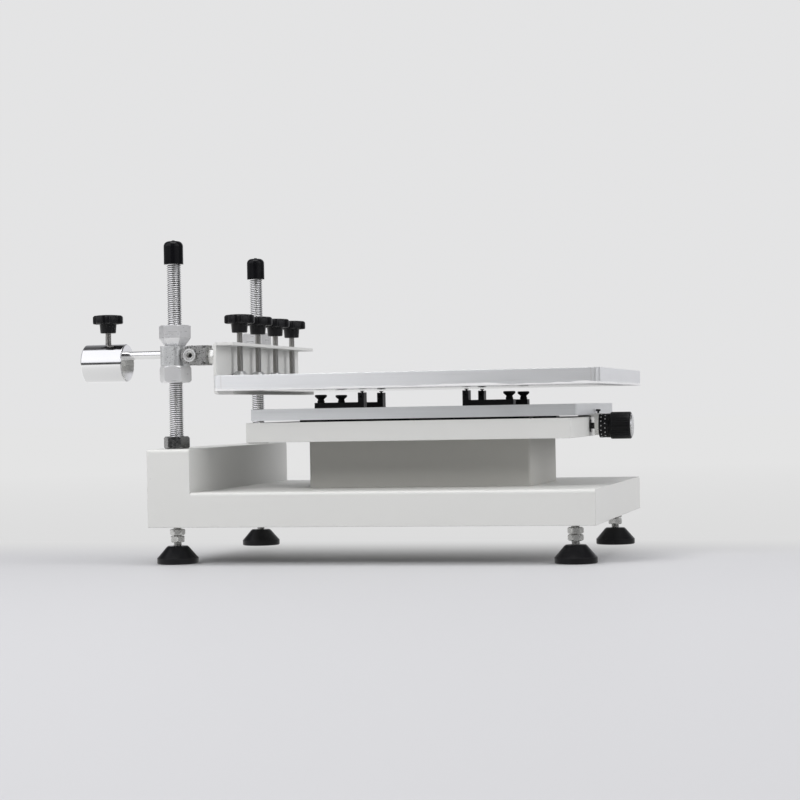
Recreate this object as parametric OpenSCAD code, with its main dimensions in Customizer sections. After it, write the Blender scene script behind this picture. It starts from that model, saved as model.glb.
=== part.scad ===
// Manual screen printing machine for circuit boards: a sheet-steel base on levelling feet, a fine-adjusted
// table, and a counterweighted arm that holds the screen frame and swings up on two threaded columns.
// Origin: middle of the overall length and width, on the surface that the feet stand on.
// +X is the operator's end.

/* [Base] */
// Length of the base, rear to front
base_len = 430; // [420:1:470]
// Width of the base
base_wid = 325; // [320:1:370]
// Height of the low deck above the underside of the base
deck_h = 33; // [26:1:45]
// Height of the raised rear box above the underside of the base
box_h = 74.5; // [66:0.5:90]
// Length of the raised rear box
box_len = 42.5; // [40:0.5:56]
// Thickness of the base sheet
base_t = 2; // [1.5:0.1:2.5]
// Outer radius of the folded edges
fold_r = 3; // [2.6:0.1:5]
// Width of the lip folded in round the underside
lip_w = 20; // [12:1:30]

/* [Feet] */
// Clearance between the floor and the underside of the base
foot_h = 36; // [35:0.5:44]
// Distance of the rear feet from the rear face
foot_rear = 20; // [18:0.5:24]
// Distance of the front feet from the front face
foot_front = 23; // [20:0.5:26]
// Distance of the feet from the sides
foot_side = 27.5; // [25:0.5:32]
// Diameter of the foot pad
pad_d = 40; // [34:1:44]
// Height of the foot pad
pad_h = 17; // [15:0.5:18]
// Height of the rim round the foot pad
pad_rim_h = 6.5; // [5:0.5:8]
// Diameter of the flat on top of the foot pad
pad_top_d = 19; // [18:0.5:24]
// Diameter of the foot stud
stud_d = 8; // [6:0.5:8.5]
// Width across flats of the foot nuts
stud_nut_s = 13; // [12:0.5:15]
// Height of one foot nut
stud_nut_h = 6.3; // [5:0.1:6.5]
// Thickness of the welded corner plate that a foot screws into
gusset_t = 3; // [2.5:0.1:5]
// Side of the corner plate
gusset_w = 48; // [46:1:56]

/* [Pedestal and tray] */
// Length of the pedestal
ped_len = 219; // [190:1:236]
// Width of the pedestal
ped_wid = 152; // [120:1:156]
// Height of the pedestal
ped_h = 46; // [40:0.5:60]
// Distance of the pedestal from the rear face of the base
ped_rear = 136.5; // [128:0.5:146]
// Length of the table tray
tray_len = 316; // [306:1:330]
// Width of the table tray
tray_wid = 246; // [230:1:270]
// Height of the tray's walls
tray_h = 19; // [18.5:0.1:22]
// Distance of the tray from the rear face of the base
tray_rear = 86.5; // [84:0.5:94]
// Thickness of the pedestal and tray sheet
tray_t = 2; // [1.5:0.1:2.5]

/* [Table plate] */
// Length of the table plate
plate_len = 316; // [300:1:330]
// Width of the table plate
plate_wid = 246; // [230:1:270]
// Thickness of the table plate
plate_t = 11; // [9.5:0.5:14]
// Gap between the tray walls and the table plate
plate_gap = 2; // [1.8:0.1:3]
// How far the table plate stands forward of the tray's front wall
plate_over = 5.5; // [4:0.5:8]
// Diameter of the round guide rods under the plate
guide_d = 8; // [6:0.5:9]
// Distance of a guide rod outward from the pedestal's side
guide_out = 4; // [0:1:12]
// Length of a slide block
block_len = 110; // [60:1:112]
// Width of a slide block
block_wid = 20; // [16:1:26]
// Distance from an end of the tray to a slide block
block_inset = 45; // [42:1:60]

/* [Table adjuster] */
// Diameter of the adjusting screw
screw_d = 6; // [5:0.5:8]
// Length of the adjusting screw behind the front of the plate
screw_tail = 42; // [34:1:60]
// Diameter of the adjusting knob
knob_d = 26.5; // [25:0.5:30]
// Length of the adjusting knob
knob_len = 20; // [16:0.5:24]
// Diameter of the metal cap on the knob's end
knob_cap_d = 22.5; // [18:0.5:23]
// Length of the metal cap on the knob's end
knob_cap_len = 1.2; // [1:0.1:4]
// Diameter of the lock ring behind the knob
ring_d = 23.5; // [20:0.5:24.5]
// Length of the lock ring
ring_len = 10.7; // [9:0.1:14]
// Diameter of the flange of the fixed nut in the tray's front wall
nut_flange_d = 12.5; // [11.5:0.5:16]
// Thickness of the bracket in front of the plate that carries the ring
bracket_t = 4.2; // [4:0.1:6]
// Width of the bracket
bracket_w = 18; // [14:0.5:20]
// Diameter of the ring's lock screw
lock_d = 2; // [1.5:0.1:2.4]
// Diameter of the lock screw's head
lock_head_d = 4.8; // [4:0.1:5]

/* [Board holders] */
// Distance of the rear holders' screws from the rear end of the table plate
holder_rear = 47; // [40:0.5:60]
// Distance of the front holders' screws from the front end of the table plate
holder_front = 78.5; // [60:0.5:90]
// Distance of a holder from the centre line
holder_y = 39; // [28:1:70]
// Length of a holder
holder_len = 50.5; // [48:0.5:60]
// Distance from the end of a holder's foot to its screw
holder_end = 5; // [4:0.5:8]
// Width of a holder
holder_wid = 12; // [10:0.5:16]
// Thickness of a holder's foot
holder_t = 5.5; // [4:0.5:6]
// Height of a holder's post above the table
post_h = 15; // [12:0.5:15]
// Width of a holder's post along the holder
post_w = 6; // [5:0.5:10]
// Length of the slot in a holder's foot
slot_len = 19; // [16:0.5:20]
// Diameter of the thumb screw's head
thumb_d = 12; // [10:0.5:13]
// Diameter of the thumb screw's stem
thumb_stem_d = 4; // [3:0.5:4.5]

/* [Screen frame] */
// Length of the screen frame
frame_len = 370; // [350:1:380]
// Width of the screen frame
frame_wid = 305; // [290:1:320]
// Height of the frame's tube
frame_h = 15; // [14:0.5:18]
// Width of the frame's tube
frame_w = 20; // [18:0.5:24]
// Corner radius of the frame
frame_r = 5; // [3:0.5:8]
// Gap between the table and the closed screen frame
print_gap = 18; // [18:0.5:24]
// Thickness of the stencil foil with its mesh
foil_t = 0.3; // [0.2:0.1:0.6]

/* [Crossbar and clamp screws] */
// Length of the crossbar across the machine
bar_len = 280; // [276:1:296]
// Depth of the crossbar's flanges
bar_d = 20; // [19:0.5:24]
// Height of the crossbar
bar_h = 50; // [47:0.5:56]
// Thickness of the crossbar sheet
bar_t = 3; // [2.5:0.1:3.5]
// Distance between neighbouring clamp screws
clamp_pitch = 60; // [50:0.5:62]
// Diameter of the clamp screws
clamp_d = 6; // [5:0.5:6.5]
// Distance from the top of the crossbar to the underside of the closed clamp knob
clamp_free = 10.5; // [8:0.5:20]
// Diameter of the star knobs
star_d = 29.5; // [26:0.5:32]
// Height of a star knob's head
star_head_h = 9; // [7:0.5:11]
// Height of a star knob's hub
star_hub_h = 9; // [6:0.5:11]
// Diameter of a star knob's hub
star_hub_d = 16; // [14:0.5:17]
// Number of lobes on a star knob
star_lobes = 6; // [5:1:7]
// Diameter of the clamp screw's foot
clamp_foot_d = 15; // [12:0.5:16.5]
// Height of the clamp screw's foot
clamp_foot_h = 4.8; // [4:0.1:6]

/* [Columns and hinge] */
// Diameter of the threaded columns
col_d = 14; // [12:0.5:15]
// Height of a column above the raised box
col_h = 198; // [180:1:220]
// Distance of the columns from the rear face of the base
col_rear = 20; // [19:0.5:22]
// Distance of a column from the centre line
col_y = 132.5; // [130:0.5:134]
// Width across flats of the column's fixing nuts
col_nut_s = 22; // [21:0.5:24]
// Height of the column's fixing nuts
col_nut_h = 12; // [10:0.5:13]
// Height of the vinyl cap
cap_h = 22.5; // [18:0.5:28]
// Wall of the vinyl cap
cap_t = 2.4; // [1.8:0.1:3]
// Width across flats of the height nuts
height_nut_s = 27; // [25:0.5:27.5]
// Height of the lower height nut
low_nut_h = 16.3; // [14:0.1:18]
// Height of the hexagon on the upper height nut
up_nut_h = 12.5; // [10:0.5:15]
// Height of the taper under the upper height nut
up_taper_h = 7.6; // [6:0.1:10]
// Width across flats of the taper's small end
up_taper_s = 17; // [16:0.5:20]
// Height of the clamp block on a column
clamp_h = 19; // [18:0.5:20]
// Width of the clamp block
clamp_w = 24.5; // [23:0.5:25]
// Distance from a column to the hinge pin
hinge_reach = 19; // [19:0.5:22]
// Distance from the hinge pin to the crossbar
hinge_to_bar = 22; // [21.5:0.5:26]
// Height of the hinge pin above the underside of the crossbar
hinge_rise = 38; // [36:0.5:38.5]
// Diameter of the hinge pin
pin_d = 8; // [6:0.5:8.5]
// Diameter of the hinge pin's head
pin_head_d = 12.7; // [11:0.1:14]
// Width of the clamp block's tongue between the knuckle's cheeks
tongue_w = 10; // [8:0.5:12]
// Diameter of the studs welded to the crossbar for the knuckles
bar_stud_d = 8; // [6:0.5:8]
// Width across flats of the nuts on the crossbar's studs
bar_nut_s = 13; // [12:0.5:14]
// Thickness of a knuckle's cheek
cheek_t = 6; // [5:0.5:7]

/* [Counterweight] */
// Diameter of the counterweight
weight_d = 37; // [32:0.5:40]
// Length of the counterweight
weight_len = 42; // [38:0.5:48]
// How far the counterweight's axis lies below its rod
weight_drop = 7; // [4:0.5:8.5]
// Diameter of the counterweight's rod
rod_d = 8; // [6:0.5:8.5]
// Distance from the rear face of the base to the counterweight's rear end
weight_reach = 79; // [79:0.5:96]
// Distance from the counterweight's rear end to its lock screw
weight_stem_in = 22.3; // [16:0.1:26]
// Distance of the rod from the centre line
rod_y = 111.3; // [108:0.1:111.5]
// Height of the rod above the hinge pin
rod_rise = 2; // [1:0.1:2]
// Distance from the counterweight's top to the closed lock knob
weight_knob_free = 11; // [8:0.5:16]

/* [Hidden] */
$fn = 64;
// radial clearance of a pin or thread that turns or slides in its hole
run_gap = 0.06;
// clearance between faces that slide past each other
slide_gap = 0.3;
// overshoot of a cutting solid past the face that it cuts
cut = 1;

// heights above the floor
base_z = foot_h;
deck_z = base_z + deck_h;
box_z = base_z + box_h;
tray_z = deck_z + ped_h;
plate_z = tray_z + tray_h + plate_gap;
table_z = plate_z + plate_t;
frame_z = table_z + print_gap;
frame_top = frame_z + frame_h;
bar_z = frame_z - bar_t;
bar_top = bar_z + bar_h;
hinge_z = bar_z + hinge_rise;
clamp_z = hinge_z - clamp_h / 2;
clamp_top = hinge_z + clamp_h / 2;
col_top = box_z + col_h;
rod_z = hinge_z + rod_rise;
weight_z = rod_z - weight_drop;
weight_top = weight_z + weight_d / 2;
guide_z = tray_z + tray_h / 2 + 0.5;
screw_z = guide_z;
clamp_knob_z = bar_top + clamp_free;
weight_knob_z = weight_top + weight_knob_free;

// places along the machine, first from the rear face of the base
plate_front_u = tray_rear + tray_len + plate_over;
ring_u = plate_front_u + bracket_t;
knob_u = ring_u + ring_len + slide_gap;
front_u = knob_u + knob_len + knob_cap_len;
// rear face of the base, so that the origin is the middle of the overall length
base_x = (weight_reach - front_u) / 2;
box_front_x = base_x + box_len;
base_front_x = base_x + base_len;
ped_x = base_x + ped_rear;
tray_x = base_x + tray_rear;
tray_front_x = tray_x + tray_len;
plate_front_x = base_x + plate_front_u;
plate_x = plate_front_x - plate_len;
ring_x = base_x + ring_u;
knob_x = base_x + knob_u;
lock_x = plate_front_x + slide_gap + lock_head_d / 2;
col_x = base_x + col_rear;
hinge_x = col_x + hinge_reach;
bar_x = hinge_x + hinge_to_bar;
bar_in_x = bar_x + bar_t;
frame_x = bar_in_x + slide_gap;
clamp_x = bar_in_x + clamp_foot_d / 2 + slide_gap;
weight_x = base_x - weight_reach;
weight_stem_x = weight_x + weight_stem_in;

// feet, in the order rear near, rear far, front near, front far
foot_y = base_wid / 2 - foot_side;
FEET = [[base_x + foot_rear, -foot_y], [base_x + foot_rear, foot_y],
    [base_front_x - foot_front, -foot_y], [base_front_x - foot_front, foot_y]];
// board holders: place of the thumb screw, and the way that the post points
HOLDERS = [[plate_x + holder_rear, -holder_y, 1], [plate_x + holder_rear, holder_y, 1],
    [plate_front_x - holder_front, -holder_y, -1], [plate_front_x - holder_front, holder_y, -1]];
// clamp screws, from the near side to the far side
function clamp_y(i) = (i - 2.5) * clamp_pitch;
SIDES = [-1, 1];

white = "#dcdcd8";
aluminium = "#c3c6cb";
steel = "#a9adb2";
cast_grey = "#8d9297";
black = "#1d1d20";
chrome = "#d7d9dc";

// screws that hold the pedestal down and the tray on it, and the feet folded in at the pedestal's ends
table_screw_d = 5;
table_screw_in = 14;
table_screw_dx = ped_len / 2 - table_screw_in;
table_screw_dy = ped_wid / 2 - table_screw_in;
guide_y = ped_wid / 2 + guide_out;
ped_fold_l = 26;
// length of the welded boss above a corner plate
boss_h = 7;
// lugs in the tray that hold the guide rods
lug_l = 14;
lug_w = 18;
lug_low = 3;
// hinge pin's head, socket and thin nut
pin_head_t = 2.2;
pin_socket_d = 6;
pin_socket_h = 3.5;
pin_nut_s = 13;
pin_nut_t = 3;
pin_end = 0.4;
// the knuckle's web between its fork and the crossbar's nut
web_x = clamp_h / 2 + slide_gap;
web_l = 6;
web_edge = 3;
knuckle_drop = 1.5;
bar_nut_h = hinge_to_bar - web_x - web_l;
// stud inside the end of the counterweight's rod
rod_stud_d = 5;
rod_stud_l = 12;
ped_mid_x = ped_x + ped_len / 2;

// nut corner radius from its width across flats
function hex_r(s) = s / sqrt(3);

// extrudes an outline drawn across the machine along its length
module along_x(len) {
    rotate([90, 0, 90]) linear_extrude(len) children();
}

// round rod lying along the machine
module rod_x(x, y, z, d, len) {
    translate([x, y, z]) rotate([0, 90, 0]) cylinder(d = d, h = len);
}

// round rod lying across the machine
module rod_y(x, y, z, d, len) {
    translate([x, y, z]) rotate([-90, 0, 0]) cylinder(d = d, h = len);
}

// outline with a flat foot and rounded top corners
module arch(w, h, r) {
    translate([-w / 2, 0]) square([w, h - r]);
    translate([r - w / 2, 0]) square([w - 2 * r, h]);
    for (s = SIDES) translate([s * (w / 2 - r), h - r]) circle(r);
}

// rectangle with round corners, centred
module round_rect(l, w, r) {
    square([l, w - 2 * r], center = true);
    square([l - 2 * r, w], center = true);
    for (sx = SIDES, sy = SIDES) translate([sx * (l / 2 - r), sy * (w / 2 - r)]) circle(r);
}

// sheet folded down on both sides
module folded_channel(len, w, h, r, t) {
    along_x(len) difference() {
        arch(w, h, r);
        translate([0, -cut]) arch(w - 2 * t, h - t + cut, r - t);
    }
}

// plain hexagon nut with chamfered corners, threaded on a bore
module hex_nut(s, h, bore) {
    chamfer = s * 0.08;
    difference() {
        intersection() {
            rotate(7) cylinder(r = hex_r(s), h = h, $fn = 6);
            rotate_extrude() polygon([[0, 0], [s / 2, 0], [hex_r(s), chamfer], [hex_r(s), h - chamfer],
                [s / 2, h], [0, h]]);
        }
        translate([0, 0, -cut]) cylinder(d = bore + 2 * run_gap, h = h + 2 * cut);
    }
}

// pan-headed screw, head down
module pan_screw(d, len) {
    translate([0, 0, -d * 0.55]) rotate_extrude()
        polygon([[0, 0], [d * 0.7, 0], [d * 0.95, d * 0.25], [d * 0.95, d * 0.55], [0, d * 0.55]]);
    cylinder(d = d, h = len);
}

// folded and welded base, open below, with a lip and four corner plates for the feet
module base_shell() {
    color(white) difference() {
        union() {
            translate([base_x + box_len - base_t, 0, base_z])
                folded_channel(base_len - box_len + base_t, base_wid, deck_h, fold_r, base_t);
            translate([base_x, 0, base_z]) folded_channel(box_len, base_wid, box_h, fold_r, base_t);
            translate([base_x, 0, base_z]) along_x(base_t) arch(base_wid, box_h, fold_r);
            translate([base_front_x - base_t, 0, base_z]) along_x(base_t) arch(base_wid, deck_h, fold_r);
            translate([box_front_x - base_t, 0, base_z]) along_x(base_t) difference() {
                arch(base_wid, box_h, fold_r);
                translate([base_t - base_wid / 2, -cut])
                    square([base_wid - 2 * base_t, deck_h - base_t + cut]);
            }
            base_lip();
            for (f = FEET) foot_gusset(f);
        }
        for (f = FEET) translate([f[0], f[1], base_z - cut]) 
            cylinder(d = stud_d + 2 * run_gap, h = gusset_t + boss_h + 2 * cut);
        for (s = SIDES) translate([col_x, s * col_y, box_z - base_t - cut])
            cylinder(d = col_d + 2 * run_gap, h = base_t + 2 * cut);
        for (sx = SIDES, sy = SIDES)
            translate([ped_mid_x + sx * table_screw_dx, sy * table_screw_dy, deck_z - base_t - cut])
                cylinder(d = table_screw_d + 2 * run_gap, h = base_t + 2 * cut);
    }
}

module base_lip() {
    inner_l = base_len - 2 * lip_w;
    inner_w = base_wid - 2 * lip_w;
    translate([base_x + base_len / 2, 0, base_z]) linear_extrude(base_t) difference() {
        square([base_len - base_t, base_wid - base_t], center = true);
        square([inner_l, inner_w], center = true);
    }
}

// corner plate with a welded boss that takes the foot's thread
module foot_gusset(f) {
    rear = f[0] < base_x + base_len / 2;
    near = f[1] < 0;
    x0 = rear ? base_x + base_t / 2 : base_front_x - base_t / 2 - gusset_w;
    y0 = near ? base_t / 2 - base_wid / 2 : base_wid / 2 - base_t / 2 - gusset_w;
    translate([x0, y0, base_z]) cube([gusset_w, gusset_w, gusset_t]);
    translate([f[0], f[1], base_z]) cylinder(d = 2 * stud_d, h = gusset_t + boss_h);
}

// sheet box between the deck and the tray, open below, with feet folded in at both ends
module pedestal() {
    color(white) difference() {
        translate([ped_mid_x, 0, deck_z]) union() {
            difference() {
                linear_extrude(ped_h) round_rect(ped_len, ped_wid, 2.5);
                translate([0, 0, -cut]) linear_extrude(ped_h - tray_t + cut)
                    square([ped_len - 2 * tray_t, ped_wid - 2 * tray_t], center = true);
            }
            for (s = SIDES) translate([s * (ped_len / 2 - table_screw_in), 0, tray_t / 2])
                cube([ped_fold_l, ped_wid - tray_t, tray_t], center = true);
        }
        table_screw_holes(deck_z - cut, tray_t + 2 * cut);
        table_screw_holes(tray_z - tray_t - cut, tray_t + 2 * cut);
    }
}

module table_screw_holes(z, h) {
    for (sx = SIDES, sy = SIDES) translate([ped_mid_x + sx * table_screw_dx, sy * table_screw_dy, z])
        cylinder(d = table_screw_d + 2 * run_gap, h = h);
}

// pan-headed screws: four up through the deck, four down through the tray
module table_screws() {
    color(steel) for (sx = SIDES, sy = SIDES)
        translate([ped_mid_x + sx * table_screw_dx, sy * table_screw_dy, 0]) {
            translate([0, 0, deck_z - base_t]) pan_screw(table_screw_d, base_t + tray_t + 5);
            translate([0, 0, tray_z + tray_t]) rotate([180, 0, 0]) pan_screw(table_screw_d, 2 * tray_t + 5);
        }
}

// open sheet tray under the table, with lugs for the guide rods
module tray() {
    color(white) difference() {
        union() {
            translate([tray_x + tray_len / 2, 0, tray_z]) difference() {
                linear_extrude(tray_h) round_rect(tray_len, tray_wid, 2.5);
                translate([0, 0, tray_t]) linear_extrude(tray_h)
                    square([tray_len - 2 * tray_t, tray_wid - 2 * tray_t], center = true);
            }
            for (s = SIDES) {
                translate([tray_x + tray_t / 2, s * guide_y - lug_w / 2, tray_z])
                    cube([lug_l, lug_w, tray_h - lug_low]);
                translate([tray_front_x - tray_t / 2 - lug_l, s * guide_y - lug_w / 2, tray_z])
                    cube([lug_l, lug_w, tray_h - lug_low]);
            }
        }
        for (s = SIDES) rod_x(tray_x + tray_t, s * guide_y, guide_z, guide_d + 2 * run_gap,
            tray_len - 2 * tray_t);
        rod_x(tray_front_x - tray_t - cut, 0, screw_z, screw_d + 3 + 2 * run_gap, tray_t + 2 * cut);
        table_screw_holes(tray_z - cut, tray_t + 2 * cut);
    }
}

// two ground rods that the table slides on
module guide_rods() {
    color(chrome) for (s = SIDES) rod_x(tray_x + tray_t, s * guide_y, guide_z, guide_d,
        tray_len - 2 * tray_t);
}

// flanged nut pressed into the tray's front wall, which the adjusting screw works in
module adjust_nut() {
    flange_t = 1.3;
    body_l = 14;
    color(black) difference() {
        union() {
            rod_x(tray_front_x, 0, screw_z, nut_flange_d, flange_t);
            rod_x(tray_front_x - body_l, 0, screw_z, screw_d + 3, body_l);
        }
        rod_x(tray_front_x - body_l - cut, 0, screw_z, screw_d + 2 * run_gap, body_l + flange_t + 2 * cut);
    }
}

// threaded columns, from below the inner fixing nut to inside the cap
module columns() {
    inner = base_t + col_nut_h + 3;
    color(steel) for (s = SIDES) translate([col_x, s * col_y, box_z - inner]) {
        cylinder(d = col_d, h = inner + col_h - 1.5);
        translate([0, 0, inner + col_h - 1.5]) cylinder(d1 = col_d, d2 = col_d - 3, h = 1.5);
    }
}

// fixing nuts above and below the top of the raised box
module column_nuts() {
    color(steel) for (s = SIDES) translate([col_x, s * col_y, box_z]) {
        hex_nut(col_nut_s, col_nut_h, col_d);
        translate([0, 0, -base_t - col_nut_h]) hex_nut(col_nut_s, col_nut_h, col_d);
    }
}

// soft vinyl caps with a rounded top and a small moulding nipple
module column_caps() {
    r = col_d / 2 + cap_t;
    r_in = col_d / 2 + run_gap;
    z_in = cap_h - cap_t;
    color(black) for (s = SIDES)
    translate([col_x, s * col_y, col_top - z_in]) rotate_extrude() difference() {
        union() {
            square([r, cap_h - 5]);
            square([r - 5, cap_h]);
            translate([r - 5, cap_h - 5]) intersection() {
                circle(5);
                square(5);
            }
            square([1.5, cap_h + 0.8]);
        }
        translate([-cut, -cut]) square([r_in + cut, z_in + cut]);
    }
}

// block that rides on a column between the height nuts, with the hinge's tongue in front
module clamp_block(s) {
    body_r = 6;
    rear = 12.5;
    front = hinge_reach - clamp_h / 2 - 1;
    translate([col_x, s * col_y, clamp_z]) difference() {
        union() {
            translate([(front - rear) / 2, 0, 0]) linear_extrude(clamp_h)
                round_rect(front + rear, clamp_w, body_r);
            translate([0, -tongue_w / 2, 0]) cube([hinge_reach, tongue_w, clamp_h]);
            rod_y(hinge_reach, -tongue_w / 2, clamp_h / 2, clamp_h, tongue_w);
        }
        translate([0, 0, -cut]) cylinder(d = col_d + 2 * run_gap, h = clamp_h + 2 * cut);
        rod_y(hinge_reach, -tongue_w / 2 - cut, clamp_h / 2, pin_d + 2 * run_gap, tongue_w + 2 * cut);
    }
}

module clamp_blocks() {
    color(cast_grey) for (s = SIDES) clamp_block(s);
}

// socket-headed hinge pins with the head on the outer cheek and a thin nut on the inner one
module hinge_pins() {
    half = tongue_w / 2 + cheek_t + 1.5 * slide_gap;
    color(steel) for (s = SIDES) {
        translate([hinge_x, s * col_y, hinge_z]) rotate([s * 90, 0, 0])
            translate([0, 0, -half - pin_head_t]) hinge_pin(2 * half + pin_head_t + pin_nut_t + pin_end);
        translate([hinge_x, s * (col_y - half), hinge_z]) rotate([s * 90, 0, 0])
            cylinder(r = hex_r(pin_nut_s), h = pin_nut_t, $fn = 6);
    }
}

module hinge_pin(len) {
    difference() {
        union() {
            cylinder(d = pin_d, h = len);
            cylinder(d = pin_head_d, h = pin_head_t);
        }
        translate([0, 0, -cut]) cylinder(d = pin_socket_d, h = pin_socket_h + cut, $fn = 6);
    }
}

// fork that turns on the hinge pin, tapped for the crossbar's stud
module knuckle(s) {
    r = clamp_h / 2;
    half = tongue_w / 2 + slide_gap + cheek_t;
    translate([hinge_x, s * col_y, hinge_z]) difference() {
        union() {
            for (c = SIDES) scale([1, c, 1]) {
                rod_y(0, half - cheek_t, 0, 2 * r, cheek_t);
                translate([0, half - cheek_t, -r]) cube([web_x + web_l - web_edge, cheek_t, 2 * r]);
            }
            translate([web_x, web_edge - half, -r]) cube([web_l, 2 * half - 2 * web_edge, 2 * r]);
            translate([web_x, -half, web_edge - r]) cube([web_l, 2 * half, 2 * r - 2 * web_edge]);
        }
        rod_y(0, -half - cut, 0, pin_d + 2 * run_gap, 2 * half + 2 * cut);
        rod_y(0, -tongue_w / 2 - slide_gap, 0, 2 * r + 2 * slide_gap, tongue_w + 2 * slide_gap);
        rod_x(web_x - cut, 0, -knuckle_drop, bar_stud_d + 2 * run_gap, web_l + 2 * cut);
    }
}

module knuckles() {
    color(cast_grey) for (s = SIDES) knuckle(s);
}

// upper height nut: hexagon whose six flats are milled to a taper at the foot
module upper_nut(s) {
    r = hex_r(height_nut_s);
    h = up_taper_h + up_nut_h;
    lean = atan((height_nut_s - up_taper_s) / 2 / up_taper_h);
    color(aluminium) translate([col_x, s * col_y, clamp_top]) difference() {
        intersection() {
            rotate(7) cylinder(r = r, h = h, $fn = 6);
            rotate_extrude() polygon([[0, 0], [r, 0], [r, h - 1], [height_nut_s / 2, h], [0, h]]);
        }
        for (k = [0:5]) rotate(k * 60 + 37) translate([up_taper_s / 2, 0, 0]) rotate([0, lean, 0])
            translate([0, -height_nut_s / 2, -height_nut_s / 2]) cube(height_nut_s);
        translate([0, 0, -cut]) cylinder(d = col_d + 2 * run_gap, h = h + 2 * cut);
    }
}

module lower_nut(s) {
    color(aluminium) translate([col_x, s * col_y, clamp_z - low_nut_h])
        hex_nut(height_nut_s, low_nut_h, col_d);
}

// channel folded open to the front, with the screen frame on its lower flange
// and three studs welded to its back
module crossbar() {
    r = 3.5;
    stud_l = bar_nut_h + web_l - 2 * slide_gap;
    color(white) {
        difference() {
            translate([bar_x, bar_len / 2, bar_z]) rotate([90, 0, 0]) linear_extrude(bar_len) difference() {
                union() {
                    translate([r, 0]) square([bar_d - r, bar_h]);
                    translate([0, r]) square([bar_d, bar_h - 2 * r]);
                    for (z = [r, bar_h - r]) translate([r, z]) circle(r);
                }
                translate([bar_t, bar_t]) square([bar_d, bar_h - 2 * bar_t]);
            }
            for (i = [1:4]) translate([clamp_x, clamp_y(i), bar_top - bar_t - cut])
                cylinder(d = clamp_d + 2 * run_gap, h = bar_t + 2 * cut);
        }
        for (s = SIDES)
            rod_x(bar_x - stud_l, s * col_y, hinge_z - knuckle_drop, bar_stud_d, stud_l + bar_t / 2);
        rod_x(bar_x - rod_stud_l, -rod_y, rod_z, rod_stud_d, rod_stud_l + bar_t / 2);
    }
}

// nuts that lock the knuckles and the counterweight's rod against the back of the crossbar
module crossbar_nuts() {
    color(steel) {
        for (s = SIDES) translate([bar_x - bar_nut_h, s * col_y, hinge_z - knuckle_drop]) rotate([0, 90, 0])
            rotate(23) hex_nut(bar_nut_s, bar_nut_h, bar_stud_d);
        translate([bar_x - bar_nut_h, -rod_y, rod_z]) rotate([0, 90, 0]) rotate(23)
            hex_nut(bar_nut_s, bar_nut_h, rod_d);
    }
}

// welded frame of rectangular tube with rounded outer corners
module screen_frame() {
    color(aluminium) translate([frame_x + frame_len / 2, 0, frame_z]) linear_extrude(frame_h) difference() {
        round_rect(frame_len, frame_wid, frame_r);
        square([frame_len - 2 * frame_w, frame_wid - 2 * frame_w], center = true);
    }
}

// thin foil stretched across the inside of the frame, level with its underside
module stencil() {
    color(steel) translate([frame_x + frame_len / 2, 0, frame_z]) linear_extrude(foil_t)
        square([frame_len - 2 * frame_w, frame_wid - 2 * frame_w], center = true);
}

// rod of the counterweight, screwed on its stud behind the crossbar
module weight_rod() {
    rod_end = 1;
    color(chrome) difference() {
        rod_x(weight_x + rod_end, -rod_y, rod_z, rod_d, bar_x - weight_x - rod_end);
        rod_x(bar_x - rod_stud_l - 1, -rod_y, rod_z, rod_stud_d + 2 * run_gap, rod_stud_l + 1 + cut);
    }
}

// turned weight, bored off its centre so that it hangs stable under the rod
module counterweight() {
    edge = 0.8;
    r = weight_d / 2;
    color(chrome) difference() {
        translate([weight_x, -rod_y, weight_z]) rotate([0, 90, 0]) rotate_extrude()
            polygon([[0, 0], [r - edge, 0], [r, edge], [r, weight_len - edge], [r - edge, weight_len],
                [0, weight_len]]);
        rod_x(weight_x - cut, -rod_y, rod_z, rod_d + 2 * run_gap, weight_len + 2 * cut);
        translate([weight_stem_x, -rod_y, rod_z]) cylinder(d = clamp_d + 2 * run_gap, h = weight_d);
    }
}

// moulded star knob, underside of the hub at z = 0
module star_knob() {
    r_lobe = star_d * 0.145;
    r_core = star_d * 0.36;
    head_top = star_hub_h + star_head_h;
    edge = 1;
    color(black) difference() {
        union() {
            rotate_extrude() polygon([[0, 0], [star_hub_d / 2 - 0.6, 0], [star_hub_d / 2, 0.6],
                [star_hub_d / 2 + 0.5, star_hub_h], [0, star_hub_h]]);
            translate([0, 0, star_hub_h]) intersection() {
                linear_extrude(star_head_h) union() {
                    circle(r_core);
                    for (k = [0:star_lobes - 1]) rotate(k * 360 / star_lobes + 12) {
                        translate([star_d / 2 - r_lobe, 0]) circle(r_lobe);
                        translate([0, -r_lobe]) square([star_d / 2 - r_lobe, 2 * r_lobe]);
                    }
                }
                rotate_extrude() polygon([[0, 0], [star_d / 2 - edge, 0], [star_d / 2, edge],
                    [star_d / 2, star_head_h - 1.6 * edge], [star_d / 2 - 1.6 * edge, star_head_h - 0.4],
                    [star_d * 0.2, star_head_h], [0, star_head_h]]);
            }
        }
        translate([0, 0, -cut]) cylinder(d = clamp_d, h = star_hub_h + 4 + cut);
        translate([0, 0, head_top - 1]) cylinder(d = star_d * 0.24, h = cut + 1);
    }
}

// clamp screw: turning foot, threaded stem and star knob
module clamp_foot(i) {
    color(cast_grey) translate([clamp_x, clamp_y(i), frame_top]) difference() {
        rotate_extrude() polygon([[0, 0], [clamp_foot_d / 2, 0], [clamp_foot_d / 2, 1.4],
            [clamp_d / 2 + 1.6, clamp_foot_h], [0, clamp_foot_h]]);
        translate([0, 0, 1.2]) cylinder(d = clamp_d + 2 * run_gap, h = clamp_foot_h);
    }
}

module clamp_stem(i) {
    z0 = frame_top + 1.2 + slide_gap / 2;
    color(steel) translate([clamp_x, clamp_y(i), z0])
        cylinder(d = clamp_d, h = clamp_knob_z + star_hub_h + 4 - z0);
}

module clamp_knob(i) {
    translate([clamp_x, clamp_y(i), clamp_knob_z]) star_knob();
}

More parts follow.
